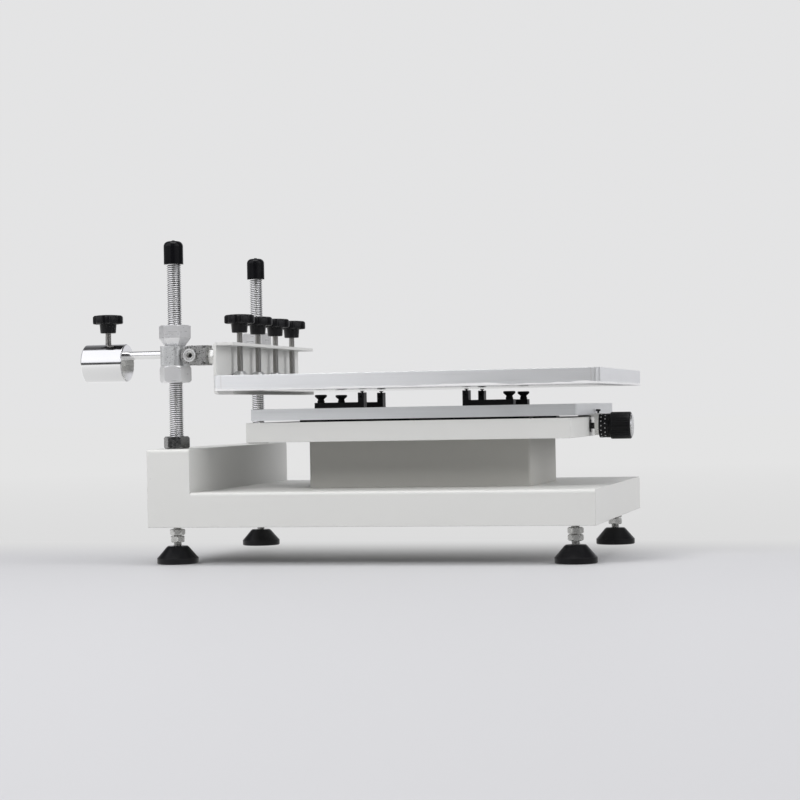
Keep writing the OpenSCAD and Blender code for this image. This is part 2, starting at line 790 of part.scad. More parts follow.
module weight_stem() {
    z0 = rod_z + rod_d / 2 + slide_gap / 2;
    color(steel) translate([weight_stem_x, -rod_y, z0])
        cylinder(d = clamp_d, h = weight_knob_z + star_hub_h + 4 - z0);
}

module weight_knob() {
    translate([weight_stem_x, -rod_y, weight_knob_z]) star_knob();
}

// thick ground plate that the board lies over, tapped for the holders' screws
module table_plate() {
    color(aluminium) difference() {
        translate([plate_x + plate_len / 2, 0, plate_z]) linear_extrude(plate_t)
            round_rect(plate_len, plate_wid, 1.5);
        for (h = HOLDERS) translate([h[0], h[1], table_z - 8])
            cylinder(d = thumb_stem_d + 2 * run_gap, h = 8 + cut);
    }
}

// four long plastic blocks under the plate that run on the guide rods
module slide_blocks() {
    block_z = tray_z + tray_t + 1;
    color(black) for (s = SIDES, x = [tray_x + block_inset, tray_front_x - block_inset - block_len]) {
        difference() {
            translate([x, s * guide_y - block_wid / 2, block_z])
                cube([block_len, block_wid, plate_z - block_z]);
            rod_x(x - cut, s * guide_y, guide_z, guide_d + 2 * run_gap, block_len + 2 * cut);
        }
    }
}

// bracket on the plate's front end that carries the screw's journal, the lock ring and its screw
module adjust_bracket() {
    foot_l = 16;
    foot_t = 1.4;
    top_z = plate_z + 1.3;
    low_z = screw_z - bracket_w / 2;
    color(steel) difference() {
        union() {
            translate([plate_front_x, -bracket_w / 2, low_z]) cube([bracket_t, bracket_w, top_z - low_z]);
            translate([plate_front_x - foot_l, -bracket_w / 2, plate_z - foot_t])
                cube([foot_l + bracket_t, bracket_w, foot_t]);
        }
        rod_x(plate_front_x - cut, 0, screw_z, screw_d + 2 * run_gap, bracket_t + 2 * cut);
        translate([lock_x, 0, screw_z]) cylinder(d = lock_d + 2 * run_gap, h = top_z - screw_z + cut);
    }
}

// grooved ring on the bracket round the adjusting screw
module lock_ring() {
    flutes = 28;
    color(black) difference() {
        rod_x(ring_x, 0, screw_z, ring_d, ring_len);
        rod_x(ring_x - cut, 0, screw_z, screw_d + 2 * run_gap, ring_len + 2 * cut);
        for (k = [0:flutes - 1]) rotate_about_screw(k * 360 / flutes + 180 / flutes)
            rod_x(ring_x + ring_len / 2, 0, ring_d / 2 + 0.35, 1.4, ring_len);
    }
}

module rotate_about_screw(a) {
    translate([0, 0, screw_z]) rotate([a, 0, 0]) children();
}

// adjusting screw with its plain journal in the bracket and the ring
module adjust_screw() {
    color(black) rod_x(plate_front_x - screw_tail, 0, screw_z, screw_d,
        knob_x + knob_len - 4 - plate_front_x + screw_tail);
}

// grooved knob on the end of the adjusting screw
module adjust_knob() {
    flutes = 30;
    r = knob_d / 2;
    color(black) difference() {
        translate([knob_x, 0, screw_z]) rotate([0, 90, 0]) rotate_extrude()
            polygon([[0, 0], [r - 0.6, 0], [r, 0.6], [r, knob_len - 0.9],
                [r - 0.9, knob_len], [0, knob_len]]);
        rod_x(knob_x - cut, 0, screw_z, screw_d, knob_len - 4 + cut);
        for (k = [0:flutes - 1]) rotate_about_screw(k * 360 / flutes)
            rod_x(knob_x + 2, 0, r + 0.45, 1.6, knob_len - 4);
    }
}

// bright metal cap on the knob
module knob_cap() {
    r = knob_cap_d / 2;
    color(chrome) translate([knob_x + knob_len, 0, screw_z]) rotate([0, 90, 0]) rotate_extrude()
        polygon([[0, 0], [r, 0], [r, knob_cap_len - 1], [r - 1, knob_cap_len], [0, knob_cap_len]]);
}

// small thumb screw in the bracket that locks the adjusting screw
module lock_screw() {
    head_z = plate_z + 3;
    r = lock_head_d / 2;
    z0 = screw_z + screw_d / 2 + slide_gap / 2;
    color(black) translate([lock_x, 0, 0]) {
        translate([0, 0, z0]) cylinder(d = lock_d, h = head_z - z0);
        translate([0, 0, head_z]) rotate_extrude()
            polygon([[0, 0], [r * 0.7, 0], [r, 0.8], [r, 1.8], [r - 0.4, 2.2], [0, 2.2]]);
    }
}

// L-shaped board holder: slotted foot, post and headed locating pin
module holder(i) {
    h = HOLDERS[i - 1];
    far_end = holder_len - holder_end;
    pin_x = far_end - post_w / 2;
    color(black) translate([h[0], h[1], table_z]) scale([h[2], 1, 1]) {
        difference() {
            union() {
                translate([-holder_end, -holder_wid / 2, 0]) cube([holder_len, holder_wid, holder_t]);
                translate([far_end - post_w, -holder_wid / 2, 0]) cube([post_w, holder_wid, post_h]);
            }
            for (x = [0, slot_len - thumb_stem_d]) translate([x, 0, -cut])
                cylinder(d = thumb_stem_d + 0.4, h = holder_t + 2 * cut);
            translate([0, -thumb_stem_d / 2 - 0.2, -cut])
                cube([slot_len - thumb_stem_d, thumb_stem_d + 0.4, holder_t + 2 * cut]);
            rod_y(pin_x, -holder_wid / 2 - cut, post_h - 4, 2, 4 + cut);
        }
        translate([pin_x, 0, post_h]) rotate_extrude()
            polygon([[0, 0], [1, 0], [1, 0.8], [2.1, 1], [2.1, 1.7], [0, 1.7]]);
    }
}

// hourglass thumb screw that clamps a holder to the table
module holder_screw(i) {
    h = HOLDERS[i - 1];
    r = thumb_d / 2;
    z0 = table_z + holder_t;
    color(black) translate([h[0], h[1], z0]) {
        rotate_extrude() polygon([[0, 0], [r * 0.62, 0], [r * 0.5, 2.6], [r * 0.55, 3.8],
            [r * 0.95, 5.6], [r, 6], [r, 7.6], [r * 0.92, 8], [0, 8]]);
        translate([0, 0, -holder_t - 7]) cylinder(d = thumb_stem_d, h = holder_t + 7);
    }
}

// moulded foot pad with a rim, a cone and a socket for the stud's end
module foot_pad(i) {
    f = FEET[i - 1];
    r = pad_d / 2;
    r_top = pad_top_d / 2;
    color(black) translate([f[0], f[1], 0]) rotate_extrude() difference() {
        polygon([[0, 0], [r - 0.8, 0], [r, 0.8], [r, pad_rim_h - 1], [r - 1, pad_rim_h],
            [r_top + 1.5, pad_h - 1.2], [r_top, pad_h], [0, pad_h]]);
        translate([-cut, 5]) square([stud_d / 2 + run_gap + cut, pad_h]);
    }
}

// levelling stud with its two nuts
module foot_stud(i) {
    f = FEET[i - 1];
    stud_z = 5 + slide_gap / 2;
    nuts_z = base_z - 2.7 - 2 * stud_nut_h;
    color(steel) translate([f[0], f[1], 0]) {
        translate([0, 0, stud_z]) cylinder(d = stud_d, h = base_z + gusset_t + 5 - stud_z);
        translate([0, 0, nuts_z]) stud_nut();
        translate([0, 0, nuts_z + stud_nut_h]) rotate(11) stud_nut();
    }
}

module stud_nut() {
    hex_nut(stud_nut_s, stud_nut_h - 0.1, stud_d - 2 * run_gap);
}

base_shell();
pedestal();
tray();
guide_rods();
adjust_nut();
columns();
column_nuts();
column_caps();
table_screws();
clamp_blocks();
hinge_pins();
upper_nut(-1);  // near_upper_nut
lower_nut(-1);  // near_lower_nut
upper_nut(1);  // far_upper_nut
lower_nut(1);  // far_lower_nut
crossbar();
knuckles();
crossbar_nuts();
screen_frame();
stencil();
weight_rod();
clamp_foot(1);  // clamp_foot_1
clamp_foot(2);  // clamp_foot_2
clamp_foot(3);  // clamp_foot_3
clamp_foot(4);  // clamp_foot_4
clamp_stem(1);  // clamp_stem_1
clamp_stem(2);  // clamp_stem_2
clamp_stem(3);  // clamp_stem_3
clamp_stem(4);  // clamp_stem_4
clamp_knob(1);  // clamp_knob_1
clamp_knob(2);  // clamp_knob_2
clamp_knob(3);  // clamp_knob_3
clamp_knob(4);  // clamp_knob_4
counterweight();
weight_stem();
weight_knob();
table_plate();
slide_blocks();
adjust_bracket();
lock_ring();
adjust_screw();
adjust_knob();
knob_cap();
lock_screw();
holder(1);  // holder_1
holder(2);  // holder_2
holder(3);  // holder_3
holder(4);  // holder_4
holder_screw(1);  // holder_screw_1
holder_screw(2);  // holder_screw_2
holder_screw(3);  // holder_screw_3
holder_screw(4);  // holder_screw_4
foot_pad(1);  // foot_pad_1
foot_pad(2);  // foot_pad_2
foot_pad(3);  // foot_pad_3
foot_pad(4);  // foot_pad_4
foot_stud(1);  // foot_stud_1
foot_stud(2);  // foot_stud_2
foot_stud(3);  // foot_stud_3
foot_stud(4);  // foot_stud_4
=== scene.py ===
"""Looks of a manual screen printing machine, put together from its base upwards."""

import math

import bpy
from mathutils import Matrix, Vector


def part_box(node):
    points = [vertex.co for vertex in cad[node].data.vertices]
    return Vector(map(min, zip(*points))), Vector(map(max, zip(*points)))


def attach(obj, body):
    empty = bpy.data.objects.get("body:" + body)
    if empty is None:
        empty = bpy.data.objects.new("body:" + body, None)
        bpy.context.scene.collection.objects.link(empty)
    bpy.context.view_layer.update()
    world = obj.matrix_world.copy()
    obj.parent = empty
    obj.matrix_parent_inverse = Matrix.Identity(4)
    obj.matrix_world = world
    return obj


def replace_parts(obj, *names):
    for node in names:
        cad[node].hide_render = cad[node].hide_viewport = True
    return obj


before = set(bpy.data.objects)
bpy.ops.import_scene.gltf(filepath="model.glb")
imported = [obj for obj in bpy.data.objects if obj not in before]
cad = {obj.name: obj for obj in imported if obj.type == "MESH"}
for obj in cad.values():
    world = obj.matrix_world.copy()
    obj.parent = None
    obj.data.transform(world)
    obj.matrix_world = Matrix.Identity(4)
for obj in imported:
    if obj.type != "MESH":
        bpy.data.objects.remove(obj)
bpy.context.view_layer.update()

# The camera stands low at the machine's near front, 2.1 m away with a long lens. The machine in the
# photograph is tipped up by a degree at its front feet; here it is level, and the camera is rolled instead.
lens = bpy.data.cameras.new("studio_camera")
lens.sensor_width = 36
lens.lens = 95.38
lens.clip_start = 0.05
camera = bpy.data.objects.new("studio_camera", lens)
bpy.context.collection.objects.link(camera)
bpy.context.scene.camera = camera
camera_place = (0.52502, -2.07204, 0.14573)
heading, tilt, roll = (math.radians(degrees) for degrees in (-13.4957, 0.0323, -1.0807))
turn = Matrix.Rotation(heading, 3, "Z") @ Matrix.Rotation(tilt, 3, "X") @ Matrix.Rotation(roll, 3, "Y")
camera_axes = Matrix((turn[0], turn[2], -turn[1])).transposed().to_4x4()
camera.matrix_world = Matrix.Translation(camera_place) @ camera_axes

# Studio: a plain pale floor, a big soft lamp above the camera's left shoulder, a weak one overhead and a low
# one at the operator's end. Bare metal sees more contrast than the rest does: in front a pale wall with a
# dark stretch beside the camera, and behind a wall that darkens upwards.
bpy.context.scene.view_settings.view_transform = "Standard"


def soft_lamp(name, place, size, watts, mirrored=False):
    """A rectangular lamp aimed at the machine's middle; bare metal shows it only where it is mirrored."""
    data = bpy.data.lights.new(name, "AREA")
    data.shape = "RECTANGLE"
    data.size, data.size_y = size
    data.energy = watts
    lamp = bpy.data.objects.new(name, data)
    bpy.context.collection.objects.link(lamp)
    machine_middle = Vector((0.0, 0.0, 0.1))
    lamp.location = place
    lamp.rotation_euler = (machine_middle - Vector(place)).to_track_quat("-Z", "Y").to_euler()
    lamp.visible_glossy = mirrored


soft_lamp("lamp_main", (-1.6, -2.5, 2.2), (1.8, 1.2), 70)
soft_lamp("lamp_above", (0.0, -0.4, 2.3), (1.6, 1.3), 22, mirrored=True)
soft_lamp("lamp_operator_end", (2.2, -0.3, 0.95), (1.6, 1.2), 16)


def feed(tree, socket, value):
    """Links an output to this socket, or gives the socket a fixed value."""
    if isinstance(value, bpy.types.NodeSocket):
        tree.links.new(value, socket)
    else:
        socket.default_value = value


def number(tree, operation, a, b=0.0):
    """The result of a Math node; each of its terms is an output or a fixed number."""
    node = tree.nodes.new("ShaderNodeMath")
    node.operation = operation
    feed(tree, node.inputs[0], a)
    feed(tree, node.inputs[1], b)
    return node.outputs[0]


def ramped(tree, value, start, end, low=0.0, high=1.0, smooth=True):
    """A value that goes from low to high while the given one goes from start to end."""
    node = tree.nodes.new("ShaderNodeMapRange")
    node.interpolation_type = "SMOOTHSTEP" if smooth else "LINEAR"
    for label, bound in (("From Min", start), ("From Max", end), ("To Min", low), ("To Max", high)):
        node.inputs[label].default_value = bound
    tree.links.new(value, node.inputs["Value"])
    return node.outputs[0]


def mixed(tree, amount, first, second, kind="MIX"):
    """One colour over another; the amount and both colours are outputs or fixed values."""
    node = tree.nodes.new("ShaderNodeMix")
    node.data_type = "RGBA"
    node.blend_type = kind
    # of the node's many sockets, these are the ones for colours
    factor, colour_a, colour_b, result = node.inputs[0], node.inputs[6], node.inputs[7], node.outputs[2]
    feed(tree, factor, amount)
    feed(tree, colour_a, first)
    feed(tree, colour_b, second)
    return result


def shared(tree, amount, first, second):
    """A node that goes from the first shader node to the second."""
    node = tree.nodes.new("ShaderNodeMixShader")
    tree.links.new(amount, node.inputs[0])
    tree.links.new(first.outputs[0], node.inputs[1])
    tree.links.new(second.outputs[0], node.inputs[2])
    return node


def studio_room():
    """Soft light from all round; the camera sees a plain backdrop, and bare metal sees walls of its own."""
    world = bpy.data.worlds.new("studio_room")
    world.use_nodes = True
    tree = world.node_tree
    tree.nodes.clear()
    place = tree.nodes.new("ShaderNodeTexCoord")
    split = tree.nodes.new("ShaderNodeSeparateXYZ")
    tree.links.new(place.outputs["Generated"], split.inputs[0])
    cool = 1.02

    def bands(axis, *shades):
        """Grey tones along one axis of the direction, each given by its place from -1 to 1 and its tone."""
        ramp = tree.nodes.new("ShaderNodeValToRGB")
        tree.links.new(ramped(tree, split.outputs[axis], -1, 1, smooth=False), ramp.inputs[0])
        stops = ramp.color_ramp.elements
        for stop, (at, shade) in ((stops[0], shades[0]), (stops[1], shades[-1])):
            stop.position, stop.color = (at + 1) / 2, (shade, shade, shade * cool, 1)
        for at, shade in shades[1:-1]:
            stops.new((at + 1) / 2).color = (shade, shade, shade * cool, 1)
        return ramp.outputs[0]

    def background(colour, strength):
        node = tree.nodes.new("ShaderNodeBackground")
        feed(tree, node.inputs["Color"], colour)
        node.inputs["Strength"].default_value = strength
        return node

    depth = bands("Y", (-1, 0.28), (-0.2, 0.29), (0.5, 0.50), (1, 0.54))
    length = bands("X", (-1, 0.45), (0, 0.5), (0.5, 0.85), (1, 1.15))
    room = background(mixed(tree, 1.0, depth, length, "MULTIPLY"), 2.0)
    backdrop = background((0.775, 0.775, 0.78, 1), 1.0)

    # the wall in front, from the floor upwards and from the rear end to the operator's end
    front_up = ((-1, 0.56), (-0.16, 0.46), (-0.08, 0.05), (0.06, 0.04), (0.13, 0.96), (0.4, 1.05), (1, 1.0))
    dark_beside_camera = ((-0.22, 0.38), (-0.17, 0.07), (0.40, 0.03), (0.65, 0.7))
    front_along = ((-1, 0.8), (-0.5, 1.0), (-0.27, 1.0), *dark_beside_camera, (0.8, 1.0), (1, 1.0))
    front = mixed(tree, 1.0, bands("Z", *front_up), bands("X", *front_along), "MULTIPLY")
    # the wall behind, the same way; straight above it ends in a pale ceiling
    ceiling = ((0.955, 0.5), (0.975, 0.85), (1, 0.95))
    back_up = ((-1, 0.34), (-0.05, 0.70), (0.2, 0.64), (0.5, 0.30), (0.8, 0.12), (0.92, 0.06), *ceiling)
    dark_ends = ((0.50, 0.4), (0.6, 0.12), (1, 0.12))
    back_along = ((-1, 0.3), (-0.8, 0.12), (-0.55, 0.6), (-0.4, 1.0), (0.42, 1.0), *dark_ends)
    back = mixed(tree, 1.0, bands("Z", *back_up), bands("X", *back_along), "MULTIPLY")
    behind = bands("Y", (-1, 0.0), (-0.05, 0.0), (0.05, 1.0), (1, 1.0))
    mirrored = background(mixed(tree, behind, front, back), 1.15)

    ray = tree.nodes.new("ShaderNodeLightPath")
    lighting = shared(tree, ray.outputs["Is Glossy Ray"], room, mirrored)
    seen = shared(tree, ray.outputs["Is Camera Ray"], lighting, backdrop)
    tree.links.new(seen.outputs[0], tree.nodes.new("ShaderNodeOutputWorld").inputs["Surface"])
    bpy.context.scene.world = world


studio_room()


def studio_floor():
    """Matt paper that fades into the backdrop, and that bare metal sees as a lit sheet."""
    paper = bpy.data.materials.new("floor_paper")
    paper.use_nodes = True
    tree = paper.node_tree
    shader = tree.nodes["Principled BSDF"]
    shader.inputs["Roughness"].default_value = 0.55
    shader.inputs["Specular IOR Level"].default_value = 0.2
    grain = tree.nodes.new("ShaderNodeTexNoise")
    grain.inputs["Scale"].default_value = 3.0
    tone = tree.nodes.new("ShaderNodeValToRGB")
    tone.color_ramp.elements[0].color = (0.555, 0.555, 0.565, 1)
    tone.color_ramp.elements[1].color = (0.59, 0.59, 0.60, 1)
    tree.links.new(grain.outputs[0], tone.inputs[0])
    tree.links.new(tone.outputs[0], shader.inputs["Base Color"])
    place = tree.nodes.new("ShaderNodeTexCoord")
    split = tree.nodes.new("ShaderNodeSeparateXYZ")
    tree.links.new(place.outputs["Object"], split.inputs[0])
    distance = tree.nodes.new("ShaderNodeVectorMath")
    distance.operation = "LENGTH"
    tree.links.new(place.outputs["Object"], distance.inputs[0])
    away, depth, length = distance.outputs["Value"], split.outputs["Y"], split.outputs["X"]

    # behind the machine, and far away on all sides, the floor fades into the tone of the backdrop
    glow = tree.nodes.new("ShaderNodeEmission")
    tree.links.new(ramped(tree, away, 0.3, 3.0, 0.72, 0.775, smooth=False), glow.inputs["Color"])
    fade = number(tree, "MAXIMUM", ramped(tree, depth, -0.10, 0.22), ramped(tree, away, 1.4, 2.0))
    # bare metal sees a sheet that is brighter at the rear end and ends in the dark in front
    lit = tree.nodes.new("ShaderNodeEmission")
    to_the_rear = ramped(tree, length, -0.6, 0.1, 1.0, 0.42, smooth=False)
    to_the_front = ramped(tree, depth, -1.9, -1.3, 0.07, 1.0)
    tree.links.new(number(tree, "MULTIPLY", to_the_rear, to_the_front), lit.inputs["Color"])
    ray = tree.nodes.new("ShaderNodeLightPath")
    seen = shared(tree, ray.outputs["Is Glossy Ray"], shared(tree, fade, shader, glow), lit)
    tree.links.new(seen.outputs[0], tree.nodes["Material Output"].inputs["Surface"])

    reach = 20.0
    rows = (-reach, -3.0, -1.4, -0.7, 0.0, 1.0, 3.0, reach)
    verts = [(x, y, 0.0) for y in rows for x in (-reach, reach)]
    faces = [(2 * k, 2 * k + 1, 2 * k + 3, 2 * k + 2) for k in range(len(rows) - 1)]
    mesh = bpy.data.meshes.new("floor")
    mesh.from_pydata(verts, [], faces)
    mesh.materials.append(paper)
    floor = bpy.data.objects.new("floor", mesh)
    bpy.context.collection.objects.link(floor)


studio_floor()

# Base: one sheet-steel box, folded and welded, with a raised part at the rear for the columns. It is powder
# coated in a warm white with a fine orange peel, a little thin along the folds, which carry a painted
# highlight.


def named_group(name, numbers, colours, outputs):
    """An empty node group with number inputs, colour inputs and outputs, and its two end nodes."""
    tree = bpy.data.node_groups.new(name, "ShaderNodeTree")
    for label in colours:
        socket = tree.interface.new_socket(label, in_out="INPUT", socket_type="NodeSocketColor")
        socket.default_value = (0.8, 0.8, 0.8, 1)
    for label, value in numbers.items():
        socket = tree.interface.new_socket(label, in_out="INPUT", socket_type="NodeSocketFloat")
        socket.default_value = value
    for label in outputs:
        kind = "NodeSocketColor" if label == "Color" else "NodeSocketFloat"
        tree.interface.new_socket(label, in_out="OUTPUT", socket_type=kind)
    return tree, tree.nodes.new("NodeGroupInput"), tree.nodes.new("NodeGroupOutput")


def finish_group(name, numbers, colours):
    """A node group for a finish, and the piece's own coordinates in it."""
    tree, given, put = named_group(name, numbers, colours, ("Color", "Roughness", "Height"))
    return tree, given.outputs, put.inputs, tree.nodes.new("ShaderNodeTexCoord").outputs["Object"]


def placed(tree, group, **values):
    """A node group in a tree, with fixed values on its inputs."""
    node = tree.nodes.new("ShaderNodeGroup")
    node.node_tree = group
    for label, value in values.items():
        node.inputs[label.replace("_", " ")].default_value = value
    return node


def speckle(tree, coordinates, scale, detail=2.0):
    node = tree.nodes.new("ShaderNodeTexNoise")
    feed(tree, node.inputs["Scale"], scale)
    node.inputs["Detail"].default_value = detail
    tree.links.new(coordinates, node.inputs["Vector"])
    return node.outputs[0]


def brightened(tree, colour, value):
    node = tree.nodes.new("ShaderNodeHueSaturation")
    feed(tree, node.inputs["Value"], value)
    tree.links.new(colour, node.inputs["Color"])
    return node.outputs[0]


def rest_of(tree, value):
    """What is left of one."""
    return number(tree, "SUBTRACT", 1.0, value)


def edge_wear_and_highlight_group():
    """Mask of the piece's outer edges, broken up by noise; it places wear on plastics and painted highlights
    on paint and metal.
    """
    tree, given, put = named_group("edge_wear_and_highlight", {"Width": 0.0006, "Breakup": 0.5}, (), ("Mask",))
    rounded = tree.nodes.new("ShaderNodeBevel")
    rounded.samples = 4
    tree.links.new(given.outputs["Width"], rounded.inputs["Radius"])
    surface = tree.nodes.new("ShaderNodeNewGeometry")
    dot = tree.nodes.new("ShaderNodeVectorMath")
    dot.operation = "DOT_PRODUCT"
    tree.links.new(rounded.outputs[0], dot.inputs[0])
    tree.links.new(surface.outputs["Normal"], dot.inputs[1])
    edge = ramped(tree, rest_of(tree, dot.outputs["Value"]), 0.01, 0.14)
    place = tree.nodes.new("ShaderNodeTexCoord")
    worn = ramped(tree, speckle(tree, place.outputs["Object"], 260.0, 4.0), 0.35, 0.62)
    spared = number(tree, "MULTIPLY", given.outputs["Breakup"], rest_of(tree, worn))
    tree.links.new(number(tree, "MULTIPLY", edge, rest_of(tree, spared)), put.inputs["Mask"])
    return tree


edge_wear_and_highlight = edge_wear_and_highlight_group()


def powder_coat_group():
    """Sprayed and baked paint: a slow drift of tone, fine orange peel, and rare darker pinholes."""
    tree, given, put, where = finish_group(
        "powder_coat_surface", {"Peel Scale": 900.0, "Drift": 0.05, "Roughness": 0.5}, ("Paint", "Worn")
    )
    peel = speckle(tree, where, given["Peel Scale"])
    cloud = number(tree, "SUBTRACT", speckle(tree, where, 7.0, 3.0), 0.5)
    drift = number(tree, "MULTIPLY", cloud, given["Drift"])
    colour = brightened(tree, given["Paint"], number(tree, "ADD", 1.0, drift))
    pits = tree.nodes.new("ShaderNodeTexVoronoi")
    pits.inputs["Scale"].default_value = 55.0
    tree.links.new(where, pits.inputs["Vector"])
    pit = number(tree, "LESS_THAN", pits.outputs["Distance"], 0.022)
    rare = number(tree, "GREATER_THAN", speckle(tree, where, 19.0, 1.0), 0.60)
    pinhole = number(tree, "MULTIPLY", number(tree, "MULTIPLY", pit, rare), 0.5)
    colour = mixed(tree, pinhole, colour, given["Worn"])
    # painted highlight: the folds and outer edges are drawn brighter
    edge_finder = placed(tree, edge_wear_and_highlight, Width=0.0009, Breakup=0.6)
    edge = number(tree, "MULTIPLY", edge_finder.outputs["Mask"], 0.8)
    tree.links.new(mixed(tree, edge, colour, brightened(tree, colour, 1.08)), put["Color"])
    rough = number(tree, "ADD", given["Roughness"], number(tree, "MULTIPLY", peel, 0.08))
    tree.links.new(rough, put["Roughness"])
    tree.links.new(peel, put["Height"])
    return tree


powder_coat_surface = powder_coat_group()


def dressed(name, surface, relief, corner, **fixed):
    """A material whose colour, roughness and relief come from a finish group; the rest sits on the shader
    itself. Relief and corner are the depth of the relief and the radius of the edges, in metres."""
    material = bpy.data.materials.new(name)
    material.use_nodes = True
    tree = material.node_tree
    shader = tree.nodes["Principled BSDF"]
    group = placed(tree, surface)
    tree.links.new(group.outputs["Color"], shader.inputs["Base Color"])
    tree.links.new(group.outputs["Roughness"], shader.inputs["Roughness"])
    bump = tree.nodes.new("ShaderNodeBump")
    bump.inputs["Strength"].default_value = 1.0
    bump.inputs["Distance"].default_value = relief
    tree.links.new(group.outputs["Height"], bump.inputs["Height"])
    if corner:
        rounded = tree.nodes.new("ShaderNodeBevel")
        rounded.samples = 4
        rounded.inputs["Radius"].default_value = corner
        tree.links.new(rounded.outputs[0], bump.inputs["Normal"])
    tree.links.new(bump.outputs[0], shader.inputs["Normal"])
    for label, value in fixed.items():
        shader.inputs[label.replace("_", " ")].default_value = value
    return material, group.inputs


def coat(node, material):
    """Gives a CAD node this material in all its slots."""
    mesh = cad[node].data
    if not mesh.materials:
        mesh.materials.append(material)
    for slot in cad[node].material_slots:
        slot.material = material


def powder_coat(name, paint, worn, gloss):
    """A powder coat of this colour; worn is the tone in its pinholes."""
    material, finish = dressed(name, powder_coat_surface, 0.00004, 0.0011, Specular_IOR_Level=gloss)
    finish["Paint"].default_value = (*paint, 1)
    finish["Worn"].default_value = (*worn, 1)
    return material


white_coat = powder_coat("white_powder_coat", (0.665, 0.665, 0.645), worn=(0.30, 0.30, 0.29), gloss=0.42)
coat("base_shell", white_coat)

# Feet: moulded black pads with a turned-looking skirt, each with a zinc-plated M8 stud and two hexagon nuts,
# one to lock the stud in the base and one to turn it by.


def moulded_group():
    """Moulded plastic or rubber: fine matt grain, patches of dust and paler scuffs on the edges."""
    tree, given, put, where = finish_group(
        "moulded_surface", {"Grain Scale": 1400.0, "Scuff": 0.5, "Roughness": 0.45}, ("Plastic", "Scuffed")
    )
    grain = speckle(tree, where, given["Grain Scale"])
    dust = ramped(tree, speckle(tree, where, 60.0, 5.0), 0.45, 0.85)
    edge_finder = placed(tree, edge_wear_and_highlight, Width=0.0005)
    scuff = number(tree, "MULTIPLY", edge_finder.outputs["Mask"], given["Scuff"])
    mask = number(tree, "MAXIMUM", scuff, number(tree, "MULTIPLY", dust, 0.10))
    tree.links.new(mixed(tree, mask, given["Plastic"], given["Scuffed"]), put["Color"])
    rough = number(tree, "ADD", given["Roughness"], number(tree, "MULTIPLY", dust, 0.15))
    tree.links.new(rough, put["Roughness"])
    tree.links.new(grain, put["Height"])
    return tree


moulded_surface = moulded_group()


def moulded(name, plastic, scuffed, rough, grain, corner, gloss):
    """A moulding of this colour; scuffed is the grey of its rubbed edges, grain the depth of its relief."""
    material, finish = dressed(name, moulded_surface, grain, corner, Specular_IOR_Level=gloss)
    finish["Plastic"].default_value = (*plastic, 1)
    finish["Scuffed"].default_value = (scuffed, scuffed, scuffed, 1)
    finish["Roughness"].default_value = rough
    return material


pad_nylon = moulded(
    "black_pad_nylon", (0.008, 0.008, 0.009),
    scuffed=0.06, rough=0.30, grain=0.00003, corner=0.0006, gloss=0.22,
)


def metal_group():
    """Bare or plated metal: fine lines one way, a slow drift of tone, hollows darkened with painted shade and
    oil, and edges drawn brighter, partly as wear and partly as a painted glint.
    """
    numbers = {"Along X": 40.0, "Along Y": 40.0, "Along Z": 40.0}
    numbers |= {"Lines": 0.2, "Edge": 0.3, "Roots": 0.0, "Roughness": 0.3}
    tree, given, put, where = finish_group("metal_surface", numbers, ("Metal", "Deep"))
    stretch = tree.nodes.new("ShaderNodeCombineXYZ")
    for axis in "XYZ":
        tree.links.new(given["Along " + axis], stretch.inputs[axis])
    laid = tree.nodes.new("ShaderNodeVectorMath")
    laid.operation = "MULTIPLY"
    tree.links.new(where, laid.inputs[0])
    tree.links.new(stretch.outputs[0], laid.inputs[1])
    lines = speckle(tree, laid.outputs[0], 1.0, 4.0)
    swing = number(tree, "SUBTRACT", lines, 0.5)
    mark = number(tree, "MULTIPLY", number(tree, "ABSOLUTE", swing), given["Lines"])
    cloud = ramped(tree, speckle(tree, where, 22.0, 3.0), 0.5, 0.8)
    mark = number(tree, "ADD", number(tree, "MULTIPLY", mark, 2.0), number(tree, "MULTIPLY", cloud, 0.12))
    surface = tree.nodes.new("ShaderNodeNewGeometry")
    # painted shade and oil: hollows and thread roots, found by their pointiness, are darkened towards the
    # deep tone
    root = rest_of(tree, ramped(tree, surface.outputs["Pointiness"], 0.42, 0.55))
    mark = number(tree, "MAXIMUM", mark, number(tree, "MULTIPLY", root, given["Roots"]))
    colour = mixed(tree, mark, given["Metal"], given["Deep"])
    # edges drawn brighter: partly worn metal, partly a painted glint
    edge_finder = placed(tree, edge_wear_and_highlight, Width=0.0004, Breakup=0.3)
    edge = number(tree, "MULTIPLY", edge_finder.outputs["Mask"], given["Edge"])
    tree.links.new(mixed(tree, edge, colour, brightened(tree, colour, 1.25)), put["Color"])
    rough = number(tree, "ADD", given["Roughness"], number(tree, "MULTIPLY", swing, given["Lines"]))
    tree.links.new(rough, put["Roughness"])
    tree.links.new(lines, put["Height"])
    return tree


metal_surface = metal_group()


def bare_metal(
    name, colour, deep, rough, along, lines, relief=0.00001, corner=0.0004, edge=0.3, roots=0.0, **fixed
):
    """Along is how fine the lines are on each axis, so that they run along the axis with the small number;
    edge and roots are the shares of the brighter edges, partly wear and partly painted glint, and of the
    painted shade and oil in the hollows."""
    material, finish = dressed(name, metal_surface, relief, corner, **{"Metallic": 1.0, **fixed})
    finish["Metal"].default_value = (*colour, 1)
    finish["Deep"].default_value = (*deep, 1)
    for label, value in (("Roughness", rough), ("Lines", lines), ("Edge", edge), ("Roots", roots)):
        finish[label].default_value = value
    for axis, value in zip("XYZ", along):
        finish["Along " + axis].default_value = value
    return material


# the studs' thread roots are darkened with painted shade and oil (roots)
stud_zinc = bare_metal(
    "stud_zinc", (0.80, 0.80, 0.78), (0.10, 0.10, 0.10),
    rough=0.26, along=(500.0, 500.0, 900.0), lines=0.25, roots=0.85,
)


